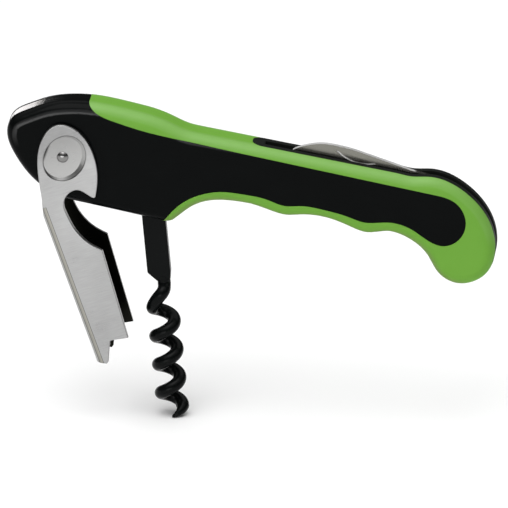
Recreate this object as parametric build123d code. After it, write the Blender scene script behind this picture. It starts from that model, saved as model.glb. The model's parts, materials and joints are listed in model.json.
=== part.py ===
from build123d import *
import math
import os

# Folding lever corkscrew: a slim two-part handle with a folded steel lever at its nose,
# a coated worm hinged in its belly and a foil knife hinged in its tail.
# X runs from the nose to the tail, Y across the handle from front to rear, Z up.
# The origin lies on the worm's line, level with the lever's step.
# Lengths are in millimetres and angles in degrees. Side views are (x, z) points.

# Fits
RUNNING_FIT = 0.05
SIDE_PLAY = 0.1
SWING_CLEARANCE = 0.4
FLAT_TOLERANCE = 0.001

# Worm, measured along its axis from the hinge
WIRE_DIAMETER = 3.5
HELIX_RADIUS = 2.65
HELIX_PITCH = 8.0
HELIX_TURNS = 4.0
TAPER_TURNS = 0.25
TAPER_STEPS = 5
TIP_RADIUS = 0.3
SHANK_WIDTH = 6.2
SHANK_THICKNESS = 3.0
SHANK_LENGTH = 30.0
SHANK_ROUND = 0.5
STEP_ROUND = 1.0
STEP_LENGTH = 2.4
WIRE_OFFSET = 1.0
WIRE_RUN = 0.3
LEAD_IN = 3.2
LEAD_OUT = 2.4
LEAD_RUN = (-1.0, 0.0, -1.0)
EYE_RADIUS = 4.0
WORM_PIN_DIAMETER = 3.2
WORM_TILT = 5.15
WORM_FOLD = 75.0
WORM_SWING = 40.0
WORM_PIVOT = (-3.5, 46.5)

# Handle across
COVER_WALL = 0.9
CHANNEL_CLEARANCE = 0.3
CHANNEL_FRONT = (14.0, 24.0)
CHANNEL_REAR = (60.5, 67.5)
CHANNEL_REAR_HALF = 3.5
SHOULDER_RADIUS = 3.0
PANEL_STEP = 0.15

# Handle side outline
BELLY_END = (0.2, 32.0)
NOSE_POINTS = [(-23.4, 36.8), (-33.1, 41.8), (-38.7, 49.1), (-40.7, 56.0), (-39.7, 58.8),
               (-35.2, 61.6), (-30.8, 63.3), (-21.5, 64.5)]
BACK_POINTS = [(-7.4, 62.35), (-1.1, 60.7), (3.1, 58.95), (5.9, 57.65), (9.2, 56.7)]
BACK_END = (62.0, 47.4)
TAIL_POINTS = [(65.8, 46.6), (71.0, 46.6), (80.6, 42.4), (87.0, 34.3), (88.4, 27.0), (85.7, 19.7),
               (79.3, 17.0)]
LIP_POINTS = [(73.1, 20.1), (70.5, 24.6), (66.4, 28.6), (60.2, 30.75), (54.7, 30.2), (49.0, 32.1),
              (43.2, 34.1), (37.0, 34.55), (33.3, 34.35), (28.4, 35.65), (22.0, 37.6), (16.1, 38.2),
              (12.3, 37.8), (8.1, 36.1), (3.4, 32.4)]
LIP_END_DIRECTION = (-0.8, -0.6)

# Boundary between the hard covers and the soft grip skins
PANEL_TOP_POINTS = [(-19.3, 67.0), (-18.8, 64.2), (-17.2, 62.3), (-11.8, 59.75), (-3.3, 57.2),
                    (5.2, 55.4), (22.2, 52.0)]
PANEL_TOP_END = (73.0, 42.2)
PANEL_TAIL_POINTS = [(77.8, 40.4), (80.7, 35.0), (78.9, 30.0), (75.0, 28.1), (70.9, 29.4),
                     (66.7, 32.3), (60.4, 34.2), (54.0, 34.0), (49.7, 35.4), (43.4, 37.1),
                     (37.0, 38.0), (32.8, 37.9), (28.5, 39.4), (22.2, 40.7), (15.8, 41.2),
                     (11.6, 40.5), (7.3, 38.7), (2.4, 34.4)]
PANEL_FOOT = (-1.0, 30.0)
OUTER_MARGIN = 12.0

# Folded inner frame
FRAME_SHEET = 1.0
FRAME_INSIDE = 6.0
FRAME_BEND = 1.4
FRAME_LEVER_RADIUS = 6.5
FRAME_WORM_RADIUS = 5.0
WEB_START = (-40.2, 57.7)
WEB_END = (-31.2, 63.4)
WEB_DEPTH = 14.0
WEB_LIP = 0.6
WEB_WINDOW = 4.8
WEB_SINK = 0.1

# Lever, measured along its length and across it from its pivot
LEVER_PIVOT = (-25.6, 49.9)
LEVER_TILT = 19.3
LEVER_SHEET = 1.2
LEVER_SIDE_GAP = 0.2
LEVER_BEND = 1.4
SPINE_OFFSET = 10.6
WEB_TOP = 9.5
WEB_TAPER = 5.0
LEVER_LENGTH = 58.0
EAR_POINTS = [(12.8, 4.72), (10.8, 5.8), (5.75, 7.6), (0.75, 8.05), (-4.2, 7.05), (-7.2, 5.0),
              (-8.8, 2.3), (-8.7, -0.4), (-7.4, -2.5), (-4.4, -5.1), (1.0, -7.4), (6.9, -8.7)]
TOOTH_TIP = (13.1, 4.2)
TOOTH_INSIDE = (12.94, 3.8)
NOTCH_POINTS = [(9.75, 0.7), (10.8, -3.05), (12.4, -4.1), (15.3, -4.2), (19.2, -3.7), (25.2, -0.9)]
EDGE_CORNER = (27.6, 1.35)
BACK_GAP_END = 35.0
BACK_GAP_ROUND = 3.0
LEVER_EDGE_ROUND = 0.25

# Step and leg, measured back from the lever's end and across it
LEDGE_OUTER = (5.2, -0.3)
LEDGE_INNER = (5.9, -5.2)
LEDGE_ROUND = 0.8
LEG_INNER_END = (0.4, -7.6)
LEG_TIP = (0.0, -8.2)
LEG_OUTER_BACK = 1.1

# Oval recess and rivet in the lever's ears
RECESS_LENGTH = 11.9
RECESS_WIDTH = 9.6
RECESS_DEPTH = 0.45
RECESS_FALL = 0.3
RECESS_WALL = 0.8
RECESS_TILT = 28.0
RECESS_FALL_TURN = -20.0
RIVET_DIAMETER = 2.2
RIVET_HEAD_DIAMETER = 3.0
RIVET_HEAD_HEIGHT = 0.6
LEVER_BUSH_DIAMETER = 8.0
LEVER_BUSH_PROUD = 0.1
LEVER_SPACER_DIAMETER = 5.0

# Knife
KNIFE_PIVOT = (73.5, 41.3)
BLADE_THICKNESS = 1.4
BLADE_TIP = (34.6, 51.9)
SPINE_HUMP = [(38.1, 53.2), (42.3, 53.8), (47.0, 53.2), (51.7, 52.0)]
SPINE_END = (66.8, 46.9)
EDGE_HEEL = (64.5, 42.6)
EDGE_BELLY = (40.5, 46.9)
TANG_RADIUS = 3.8
EDGE_BEVEL_HEIGHT = 2.2
EDGE_FLAT = 0.3
NICK_START = (45.8, 52.3)
NICK_MIDDLE = (49.8, 49.4)
NICK_END = (56.7, 48.7)
NICK_DEPTH = 0.35
KNIFE_PIN_DIAMETER = 2.4
KNIFE_WASHER_DIAMETER = 6.4
KNIFE_WASHER_THICKNESS = 0.5

# Slotted liner of the knife
LINER_CHEEK = 1.9
LINER_FLOOR = 1.1
LINER_END_ROUND = 2.6
LINER_START = (24.0, 48.2)
SLOT_START = (27.3, 49.8)
SLOT_FLOOR_FRONT = (40.0, 46.2)
SLOT_FLOOR_REAR = (66.0, 41.6)
SLOT_TAIL_START = (71.4, 37.2)
SLOT_TAIL_END = (87.4, 23.6)

# Solid core under the tail's skin
TAIL_CORE_CENTRE = (79.0, 27.5)
TAIL_CORE_RADIUS = 7.0
TAIL_CORE_TOP = (75.1, 34.7)
TAIL_CORE_TOP_RADIUS = 5.6

# Blind pins that join the two covers
COVER_PIN_DIAMETER = 2.0
COVER_PIN_LENGTH = 6.0
COVER_PIN_PLACES = [(-24.0, 40.4), (7.0, 52.3), (18.5, 50.0), (79.0, 25.0)]
PIN_SKIN = 0.7

# Sizes worked out from the driving dimensions
CHANNEL_HALF = HELIX_RADIUS + WIRE_DIAMETER / 2 + CHANNEL_CLEARANCE
HALF_WIDTH = CHANNEL_HALF + COVER_WALL
FRAME_HALF_INSIDE = FRAME_INSIDE / 2
FRAME_HALF = FRAME_HALF_INSIDE + FRAME_SHEET
LEVER_HALF_INSIDE = HALF_WIDTH + LEVER_SIDE_GAP
LEVER_HALF = LEVER_HALF_INSIDE + LEVER_SHEET
EAR_FOOT = (WEB_TOP, LEVER_BEND - SPINE_OFFSET)
SLOT_HALF = BLADE_THICKNESS / 2 + SIDE_PLAY + KNIFE_WASHER_THICKNESS
LINER_HALF = SLOT_HALF + LINER_CHEEK
PIN_HALF = HALF_WIDTH - PIN_SKIN
FOLD_TURN = math.radians(WORM_TILT + WORM_FOLD)
LEAD_FRONT = SHANK_LENGTH + STEP_LENGTH + WIRE_RUN + LEAD_IN
HELIX_START = LEAD_FRONT + LEAD_OUT
WORM_LENGTH = HELIX_START + HELIX_TURNS * HELIX_PITCH


def at(point):
    """Location of a side-view point in the middle plane."""
    return Pos(point[0], 0, point[1])


def slab(face, y_low, y_high):
    """Solid with a side-view face as its outline, between two planes across the handle."""
    return Pos(0, y_high, 0) * extrude(Plane.XZ * face, amount=y_high - y_low, dir=(0, -1, 0))


def rod(point, radius, y_low, y_high):
    """Round bar across the handle at a side-view point."""
    return slab(Pos(*point) * Circle(radius), y_low, y_high)


def ring(point, outer_radius, inner_radius, y_low, y_high):
    """Tube across the handle at a side-view point."""
    return slab(Pos(*point) * (Circle(outer_radius) - Circle(inner_radius)), y_low, y_high)


def rear_of(front):
    """Mirror image of a front piece."""
    return mirror(front, about=Plane.XZ)


def direction(start, end):
    """Vector from one side-view point to another."""
    return (end[0] - start[0], end[1] - start[1])


def shifted(point, along, distance):
    """Side-view point moved a distance along a direction."""
    length = math.hypot(*along)
    return (point[0] + along[0] / length * distance, point[1] + along[1] / length * distance)


def curve(points, start_run, end_run):
    """Smooth side-view curve through points, with its direction given at both ends."""
    runs = [Vector(*start_run).normalized(), Vector(*end_run).normalized()]
    return Spline(*points, tangents=runs, tangent_scalars=[1, 1])


def edges_at(piece, half):
    """Edges of a piece that lie in the two planes at a distance either side of the middle."""
    def in_plane(edge):
        heights = [abs((edge @ share).Y) for share in (0, 0.5, 1)]
        return all(math.isclose(height, half, abs_tol=FLAT_TOLERANCE) for height in heights)

    return piece.edges().filter_by(in_plane)


def handle_outline():
    """Side outline of the whole handle."""
    crown = NOSE_POINTS[-1]
    lobe = TAIL_POINTS[-1]
    belly_run = direction(BELLY_END, NOSE_POINTS[0])
    back_run = direction(BACK_POINTS[-1], BACK_END)
    nose = curve(NOSE_POINTS, belly_run, (1, 0))
    back = curve([crown, *BACK_POINTS], (1, 0), back_run)
    ridge = Line(BACK_POINTS[-1], BACK_END)
    tail = curve([BACK_END, *TAIL_POINTS], back_run, (-1, 0))
    lips = curve([lobe, *LIP_POINTS], (-1, 0), LIP_END_DIRECTION)
    corner = curve([LIP_POINTS[-1], BELLY_END], LIP_END_DIRECTION, belly_run)
    belly = Line(BELLY_END, NOSE_POINTS[0])
    return make_face([nose, back, ridge, tail, lips, corner, belly])


def panel_outline():
    """Side outline of the hard black region, which runs past the nose and the belly."""
    top_run = direction(PANEL_TOP_POINTS[-1], PANEL_TOP_END)
    start = PANEL_TOP_POINTS[0]
    nose_side = min(point[0] for point in NOSE_POINTS) - OUTER_MARGIN
    top = curve(PANEL_TOP_POINTS, (0, -1), top_run)
    edge = Line(PANEL_TOP_POINTS[-1], PANEL_TOP_END)
    tail_end = PANEL_TAIL_POINTS[-1]
    tail = curve([PANEL_TOP_END, *PANEL_TAIL_POINTS], top_run, direction(tail_end, PANEL_FOOT))
    surround = Polyline(tail_end, PANEL_FOOT, (nose_side, PANEL_FOOT[1]), (nose_side, start[1]), start)
    return make_face([top, edge, tail, surround])


def hull_of(*circles):
    """Outline stretched round circles given as (point, radius)."""
    edges = []
    for point, radius in circles:
        edges += (Pos(*point) * Circle(radius)).edges()
    return make_hull(edges)


def slot_outline(margin):
    """Side view of the knife's slot with a margin of material round its floor."""
    front_run = direction(SLOT_FLOOR_FRONT, SLOT_FLOOR_REAR)
    drop = (front_run[1], -front_run[0])
    tail_run = direction(SLOT_TAIL_START, SLOT_TAIL_END)
    tail_drop = (tail_run[1], -tail_run[0])
    top = max(point[1] for point in NOSE_POINTS) + OUTER_MARGIN
    rear = max(point[0] for point in TAIL_POINTS) + OUTER_MARGIN
    tail_end = shifted(SLOT_TAIL_END, tail_drop, margin)
    start = SLOT_START if margin == 0 else LINER_START
    floor = Polyline(
        (start[0], top),
        start,
        shifted(SLOT_FLOOR_FRONT, drop, margin),
        shifted(SLOT_FLOOR_REAR, drop, margin),
        shifted(SLOT_TAIL_START, tail_drop, margin),
        tail_end,
        (rear, tail_end[1]),
        (rear, top),
        close=True,
    )
    tang_room = TANG_RADIUS + SWING_CLEARANCE + margin
    return make_face(floor) + Pos(*KNIFE_PIVOT) * Circle(tang_room)


def worm_axis_point(along, turn):
    """Side-view point on the worm's axis, with the worm turned out of straight down."""
    return (WORM_PIVOT[0] + along * math.sin(turn), WORM_PIVOT[1] - along * math.cos(turn))


def channel_outline():
    """Side view of the long channel that the folded worm lies in."""
    reach = WORM_LENGTH + 2 * SWING_CLEARANCE
    half = HELIX_RADIUS + WIRE_DIAMETER / 2 + SWING_CLEARANCE
    top_side = (math.cos(FOLD_TURN), math.sin(FOLD_TURN))
    start = shifted(WORM_PIVOT, top_side, half)
    end = shifted(worm_axis_point(reach, FOLD_TURN), top_side, half)
    below = min(point[1] for point in LIP_POINTS) - OUTER_MARGIN
    front = WORM_PIVOT[0]
    return make_face(Polyline(start, end, (end[0], below), (front, below), (front, start[1]), close=True))


def worm_channel():
    """Front half of the worm's channel: as wide as the shank in front, wider round the coil."""
    plan = make_face(Polyline(
        (WORM_PIVOT[0], 0), (WORM_PIVOT[0], -FRAME_HALF_INSIDE), (CHANNEL_FRONT[0], -FRAME_HALF_INSIDE),
        (CHANNEL_FRONT[1], -CHANNEL_HALF), (CHANNEL_REAR[0], -CHANNEL_HALF),
        (CHANNEL_REAR[1], -CHANNEL_REAR_HALF), (CHANNEL_REAR[1], 0), close=True
    ))
    return slab(channel_outline(), -CHANNEL_HALF, 0) & extrude(plan, amount=2 * WORM_PIVOT[1])


def shank_slot_outline():
    """Side view of the sector that the worm's flat shank swings through under the belly."""
    half = SHANK_WIDTH / 2 + SWING_CLEARANCE
    turn = math.radians(WORM_TILT - WORM_SWING)
    outer_side = (-math.cos(turn), -math.sin(turn))
    start = shifted(WORM_PIVOT, outer_side, half)
    end = shifted(worm_axis_point(SHANK_LENGTH, turn), outer_side, half)
    right = (WORM_PIVOT[0], end[1])
    return make_face(Polyline(WORM_PIVOT, start, end, right, close=True)) + Pos(*WORM_PIVOT) * Circle(
        EYE_RADIUS + SWING_CLEARANCE
    )


def frame_outline(outline):
    """Side view of the inner frame: a link plate with a neck that reaches the nose."""
    run = direction(WEB_START, WEB_END)
    inward = (run[1], -run[0])
    neck = make_face(Polyline(
        shifted(WEB_START, inward, -OUTER_MARGIN),
        shifted(WEB_END, inward, -OUTER_MARGIN),
        shifted(WEB_END, inward, WEB_DEPTH),
        shifted(WEB_START, inward, WEB_DEPTH),
        close=True,
    ))
    link = hull_of((LEVER_PIVOT, FRAME_LEVER_RADIUS), (WORM_PIVOT, FRAME_WORM_RADIUS))
    return (outline & neck) + link


def under_nose(outline, depth):
    """The handle's side outline, moved in from the nose by a depth."""
    run = direction(WEB_START, WEB_END)
    return Pos(*shifted((0, 0), (run[1], -run[0]), depth)) * outline


def frame_room(outline):
    """Everything within the inner frame, with the rounded bends of its web and its raised strip."""
    block = slab(frame_outline(under_nose(outline, WEB_LIP)), -FRAME_HALF, FRAME_HALF)
    block = fillet(edges_at(block, FRAME_HALF).filter_by(GeomType.BSPLINE), FRAME_BEND)
    return block + slab(frame_outline(under_nose(outline, WEB_SINK)), -WEB_WINDOW / 2, WEB_WINDOW / 2)


def nose_frame(outline):
    """Folded steel frame: two side plates and the short web that shows through the nose."""
    inner = frame_outline(outline) & under_nose(outline, WEB_LIP + FRAME_SHEET)
    folded = frame_room(outline) - slab(inner, -FRAME_HALF_INSIDE, FRAME_HALF_INSIDE)
    holes = rod(LEVER_PIVOT, RIVET_DIAMETER / 2 + RUNNING_FIT, -FRAME_HALF, FRAME_HALF)
    holes += rod(WORM_PIVOT, WORM_PIN_DIAMETER / 2, -FRAME_HALF, FRAME_HALF)
    return folded - holes


def handle_body(outline, half_width):
    """Whole handle with its rounded shoulders, before it is divided."""
    block = slab(outline, -half_width, half_width)
    rim = block.faces().filter_by(Axis.Y).edges()
    return fillet(rim, SHOULDER_RADIUS)


def cover_holes():
    """Bores of the front cover for the bushes and the pins."""
    holes = rod(LEVER_PIVOT, LEVER_BUSH_DIAMETER / 2, -HALF_WIDTH, 0)
    holes += rod(WORM_PIVOT, WORM_PIN_DIAMETER / 2, -PIN_HALF, 0)
    for place in COVER_PIN_PLACES:
        holes += rod(place, COVER_PIN_DIAMETER / 2, -COVER_PIN_LENGTH / 2, 0)
    return holes


def handle_shells(outline):
    """Front cover and front grip skin, cut from one half of the handle."""
    front = slab(outline, -HALF_WIDTH, 0)
    panel = slab(panel_outline(), -HALF_WIDTH, 0)
    liner_room = liner_block(slot_outline(LINER_FLOOR))
    channel = worm_channel() + slab(shank_slot_outline(), -FRAME_HALF_INSIDE, 0)
    tail_core = hull_of((TAIL_CORE_CENTRE, TAIL_CORE_RADIUS), (TAIL_CORE_TOP, TAIL_CORE_TOP_RADIUS))
    core = slab(tail_core, -LINER_HALF, 0)
    cover = handle_body(outline, HALF_WIDTH - PANEL_STEP) & front & (panel + core)
    cover = cover - liner_room - channel
    cover = cover - frame_room(outline) - slab(frame_outline(outline), -WEB_WINDOW / 2, 0)
    cover -= cover_holes()
    grip = (handle_body(outline, HALF_WIDTH) & front) - panel - core - liner_room - channel
    return cover, grip


def liner_block(face):
    """Solid of the knife's liner with its front end rounded in plan."""
    block = slab(face, -LINER_HALF, LINER_HALF)
    return fillet(block.edges().filter_by(Axis.Z).group_by(Axis.X)[0], LINER_END_ROUND)


def knife_liner(outline):
    """Slotted insert in the back of the handle."""
    block = liner_block(outline & slot_outline(LINER_FLOOR))
    slot = slab(slot_outline(0), -SLOT_HALF, SLOT_HALF)
    return block - slot - rod(KNIFE_PIVOT, KNIFE_PIN_DIAMETER / 2, -LINER_HALF, LINER_HALF)


def lever_outline():
    """Side view of the flat lever, hanging straight down from its pivot."""
    def place(*points):
        return [(across, -along) for along, across in points]

    def foot(back, across):
        return (LEVER_LENGTH - back, across)

    leg_end = foot(*LEG_INNER_END)
    leg_corner = foot(LEG_OUTER_BACK, -SPINE_OFFSET)
    ledge_end = foot(*LEDGE_OUTER)
    ear_run = direction(*place(EAR_POINTS[-1], EAR_FOOT))
    edge_run = direction(*place(NOTCH_POINTS[-1], EDGE_CORNER))
    tooth = ThreePointArc(*place(TOOTH_INSIDE, TOOTH_TIP, EAR_POINTS[0]))
    ear = curve(place(*EAR_POINTS, EAR_FOOT), tooth % 1, ear_run)
    spine_top = (WEB_TOP + WEB_TAPER, -SPINE_OFFSET)
    spine = Polyline(*place(EAR_FOOT, spine_top, leg_corner, foot(*LEG_TIP), leg_end))
    leg = FilletPolyline(*place(leg_end, foot(*LEDGE_INNER), ledge_end), radius=LEDGE_ROUND)
    edge = Line(*place(ledge_end, EDGE_CORNER))
    notch = curve(place(TOOTH_INSIDE, *NOTCH_POINTS, EDGE_CORNER), tooth % 0 * -1, edge_run)
    return make_face([tooth, ear, spine, leg, edge, notch])


def lever_section():
    """Cross section of the folded lever: two sides and a web with rounded bends."""
    depth = 4 * SPINE_OFFSET
    outer = Pos(-SPINE_OFFSET + depth / 2, 0) * Rectangle(depth, 2 * LEVER_HALF)
    inner = Pos(-SPINE_OFFSET + LEVER_SHEET + depth / 2, 0) * Rectangle(depth, 2 * LEVER_HALF_INSIDE)
    outer = fillet(outer.vertices().group_by(Axis.X)[0], LEVER_BEND)
    inner = fillet(inner.vertices().group_by(Axis.X)[0], LEVER_BEND - LEVER_SHEET)
    return outer - inner


def ear_recess():
    """Oval dish pressed into the front ear: its floor falls away to one side, so its wall widens there."""
    deepest = RECESS_DEPTH + RECESS_FALL
    slope = RECESS_WALL / RECESS_DEPTH
    long_turn = 90 - RECESS_TILT - LEVER_TILT
    fall_turn = RECESS_FALL_TURN - LEVER_TILT
    shift = RECESS_FALL * slope

    def oval(depth):
        spread = (RECESS_DEPTH - depth) * slope
        shape = Ellipse(RECESS_LENGTH / 2 + spread, RECESS_WIDTH / 2 + spread)
        moved = Rot(Z=fall_turn) * Pos(shift, 0) * Rot(Z=long_turn - fall_turn) * shape
        return Plane.XZ.offset(LEVER_HALF - depth) * moved

    dish = loft([oval(-RECESS_DEPTH), oval(deepest)])
    tip = math.degrees(math.atan2(RECESS_FALL, RECESS_WIDTH / 2))
    room = Pos(0, 0, LEVER_LENGTH / 2) * Box(LEVER_LENGTH, LEVER_LENGTH, LEVER_LENGTH)
    floor = Plane.XZ.offset(LEVER_HALF - RECESS_DEPTH) * Rot(Z=fall_turn) * Rot(Y=tip) * room
    return dish & floor


def lever():
    """Folded lever with its ears, cap-lifter notch, step and leg, at its rest angle.

    Its back is open below the ears, where the handle's belly goes in when the lever is folded."""
    top = OUTER_MARGIN + LEVER_LENGTH
    ears = slab(Pos(0, (top - WEB_TOP) / 2) * Rectangle(top, top + WEB_TOP), -LEVER_HALF, LEVER_HALF)
    ears -= slab(Rectangle(2 * top, 2 * top), -LEVER_HALF_INSIDE, LEVER_HALF_INSIDE)
    channel = Pos(0, 0, -WEB_TOP) * extrude(lever_section(), amount=LEVER_LENGTH, dir=(0, 0, -1))
    hanging = slab(lever_outline(), -LEVER_HALF, LEVER_HALF) & (ears + channel)
    gap = RectangleRounded(2 * LEVER_HALF_INSIDE, 2 * (BACK_GAP_END - WEB_TOP), BACK_GAP_ROUND)
    back = Plane.YZ.offset(-SPINE_OFFSET) * Pos(0, -WEB_TOP) * gap
    hanging -= extrude(back, amount=LEVER_BEND)
    flat_side = EAR_FOOT[1] + FLAT_TOLERANCE
    rim = edges_at(hanging, LEVER_HALF).filter_by(lambda edge: edge.center().X > flat_side)
    hanging = fillet(rim, LEVER_EDGE_ROUND)
    recess = ear_recess()
    recess += rod((0, 0), RIVET_HEAD_DIAMETER / 2 + RUNNING_FIT, -LEVER_HALF, RECESS_DEPTH - LEVER_HALF)
    hanging = hanging - recess - rear_of(recess)
    hanging -= rod((0, 0), RIVET_DIAMETER / 2 + RUNNING_FIT, -LEVER_HALF, LEVER_HALF)
    return at(LEVER_PIVOT) * Rot(Y=-LEVER_TILT) * hanging


def lever_rivet():
    """Rivet through both ears, with a low domed head in each recess."""
    seat = LEVER_HALF - RECESS_DEPTH
    radius = RIVET_HEAD_DIAMETER / 2
    dome_radius = (radius ** 2 + RIVET_HEAD_HEIGHT ** 2) / (2 * RIVET_HEAD_HEIGHT)
    dome = Pos(0, -(seat + RIVET_HEAD_HEIGHT - dome_radius), 0) * Sphere(dome_radius)
    head = dome & rod((0, 0), radius, -seat - RIVET_HEAD_HEIGHT, -seat)
    shank = rod((0, 0), RIVET_DIAMETER / 2, -seat, seat)
    return at(LEVER_PIVOT) * (shank + head + rear_of(head))


def biarc(start, start_run, end, end_run):
    """Two tangent arcs between two points with given directions."""
    span = end - start
    both = start_run + end_run
    spread = 2 * (1 - start_run.dot(end_run))
    push = span.dot(both)
    reach = (-push + math.sqrt(push ** 2 + spread * span.dot(span))) / spread
    middle = (start + end + (start_run - end_run) * reach) * 0.5
    first = TangentArc(start, middle, tangent=start_run)
    return [first, TangentArc(middle, end, tangent=first % 1)]


def helix_point(turns):
    """Point of the hanging worm's helix and its direction, after some turns from the front."""
    angle = 2 * math.pi * turns
    place = Vector(
        -HELIX_RADIUS * math.sin(angle),
        -HELIX_RADIUS * math.cos(angle),
        -HELIX_START - HELIX_PITCH * turns,
    )
    run = Vector(
        -HELIX_RADIUS * math.cos(angle),
        HELIX_RADIUS * math.sin(angle),
        -HELIX_PITCH / (2 * math.pi),
    )
    return place, run.normalized()


def worm_tip():
    """Tapered point at the end of the helix."""
    start = HELIX_TURNS - TAPER_TURNS
    sections = []
    for step in range(TAPER_STEPS + 1):
        share = step / TAPER_STEPS
        place, run = helix_point(start + TAPER_TURNS * share)
        radius = WIRE_DIAMETER / 2 * (1 - share) + TIP_RADIUS * share
        sections.append(Plane(place, x_dir=run.cross(Vector(0, 0, 1)), z_dir=run) * Circle(radius))
    return loft(sections)


def worm():
    """Flat shank with an eye, and a round wire that runs into a right-handed helix."""
    wide = SHANK_WIDTH / 2
    wire = WIRE_DIAMETER / 2
    shank_end = SHANK_LENGTH + STEP_LENGTH
    flat = make_face(Polyline(
        (-wide, 0),
        (wide, 0),
        (wide, -SHANK_LENGTH),
        (WIRE_OFFSET + wire, -shank_end),
        (WIRE_OFFSET - wire, -shank_end),
        (-wide, -SHANK_LENGTH),
        close=True,
    ))
    step = flat.vertices().filter_by(lambda corner: corner.Y < -wide)
    flat = fillet(step.filter_by(lambda corner: abs(corner.X) == wide), STEP_ROUND) + Circle(EYE_RADIUS)
    blade = slab(flat, -SHANK_THICKNESS / 2, SHANK_THICKNESS / 2)
    sides = edges_at(blade, SHANK_THICKNESS / 2).filter_by(lambda edge: edge.center().Z > -shank_end)
    blade = fillet(sides, SHANK_ROUND)
    blade -= rod((0, 0), WORM_PIN_DIAMETER / 2 + RUNNING_FIT, -SHANK_THICKNESS, SHANK_THICKNESS)
    down = Vector(0, 0, -1)
    run_start = Vector(WIRE_OFFSET, 0, -SHANK_LENGTH - STEP_LENGTH / 2)
    run_end = Vector(WIRE_OFFSET, 0, -shank_end - WIRE_RUN)
    quarter = 0.25
    path = [Line(run_start, run_end)]
    lead = Vector(0, -HELIX_RADIUS, -LEAD_FRONT)
    lead_run = Vector(*LEAD_RUN).normalized()
    path += biarc(run_end, down, lead, lead_run)
    path += biarc(lead, lead_run, *helix_point(quarter))
    for index in range(1, round((HELIX_TURNS - TAPER_TURNS) / quarter)):
        path += biarc(*helix_point(index * quarter), *helix_point((index + 1) * quarter))
    section = Plane(run_start, z_dir=down) * Circle(wire)
    coil = sweep(section, path=Wire(path))
    hanging = blade + coil + worm_tip()
    return at(WORM_PIVOT) * Rot(Y=-WORM_TILT) * hanging


def knife_bevel():
    """Wedge that comes off the front of the blade along its cutting edge."""
    along = direction(EDGE_HEEL, EDGE_BELLY)
    across = Plane(at(EDGE_HEEL).position, x_dir=(0, 1, 0), z_dir=(along[0], 0, along[1]))
    side = -BLADE_THICKNESS
    wedge = make_face(Polyline(
        (-BLADE_THICKNESS / 2, -EDGE_BEVEL_HEIGHT),
        (-EDGE_FLAT / 2, 0),
        (-EDGE_FLAT / 2, EDGE_BEVEL_HEIGHT),
        (side, EDGE_BEVEL_HEIGHT),
        (side, -EDGE_BEVEL_HEIGHT),
        close=True,
    ))
    return extrude(across * wedge, amount=2 * math.hypot(*along), dir=(along[0], 0, along[1]))


def knife_blade():
    """Foil knife, folded into its slot."""
    tang_side = direction(SPINE_END, EDGE_HEEL)
    spine_run = direction(SPINE_HUMP[-1], SPINE_END)
    hump = curve([BLADE_TIP, *SPINE_HUMP], (1, 0.6), spine_run)
    spine = Line(SPINE_HUMP[-1], SPINE_END)
    heel = Line(SPINE_END, EDGE_HEEL)
    edge = Line(EDGE_HEEL, EDGE_BELLY)
    belly = curve([EDGE_BELLY, BLADE_TIP], direction(EDGE_HEEL, EDGE_BELLY), (-0.3, 1))
    leaf = make_face([hump, spine, heel, edge, belly])
    tang_end = shifted(SPINE_END, tang_side, TANG_RADIUS / 2)
    tang = hull_of((KNIFE_PIVOT, TANG_RADIUS), (tang_end, TANG_RADIUS / 2))
    blade = slab(leaf + tang, -BLADE_THICKNESS / 2, BLADE_THICKNESS / 2)
    bevel = knife_bevel()
    blade = blade - bevel - rear_of(bevel)
    nick = make_face([
        ThreePointArc(NICK_START, NICK_MIDDLE, NICK_END),
        Line(NICK_END, NICK_START),
    ])
    for side in (-1, 1):
        face = side * BLADE_THICKNESS / 2
        blade -= slab(nick, min(face, face - side * NICK_DEPTH), max(face, face - side * NICK_DEPTH))
    return blade - rod(KNIFE_PIVOT, KNIFE_PIN_DIAMETER / 2 + RUNNING_FIT, -BLADE_THICKNESS, BLADE_THICKNESS)


def small_parts():
    """Pins, bushes, spacers and washers, by name."""
    rivet_bore = RIVET_DIAMETER / 2 + RUNNING_FIT
    bush = ring(LEVER_PIVOT, LEVER_BUSH_DIAMETER / 2, rivet_bore, -HALF_WIDTH - LEVER_BUSH_PROUD, -FRAME_HALF)
    spacer = ring(
        WORM_PIVOT, EYE_RADIUS, WORM_PIN_DIAMETER / 2, -FRAME_HALF_INSIDE, -SHANK_THICKNESS / 2 - SIDE_PLAY
    )
    washer = ring(
        KNIFE_PIVOT, KNIFE_WASHER_DIAMETER / 2, KNIFE_PIN_DIAMETER / 2,
        -SLOT_HALF, KNIFE_WASHER_THICKNESS - SLOT_HALF,
    )
    half_dowel = COVER_PIN_LENGTH / 2
    dowels = [rod(place, COVER_PIN_DIAMETER / 2, -half_dowel, half_dowel) for place in COVER_PIN_PLACES]
    return {
        "lever_spacer": ring(
            LEVER_PIVOT, LEVER_SPACER_DIAMETER / 2, rivet_bore, -FRAME_HALF_INSIDE, FRAME_HALF_INSIDE
        ),
        "front_lever_bush": bush,
        "rear_lever_bush": rear_of(bush),
        "worm_pin": rod(WORM_PIVOT, WORM_PIN_DIAMETER / 2, -PIN_HALF, PIN_HALF),
        "front_worm_spacer": spacer,
        "rear_worm_spacer": rear_of(spacer),
        "knife_pin": rod(KNIFE_PIVOT, KNIFE_PIN_DIAMETER / 2, -LINER_HALF, LINER_HALF),
        "front_knife_washer": washer,
        "rear_knife_washer": rear_of(washer),
        "cover_pins": Compound(children=dowels),
    }


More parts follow.
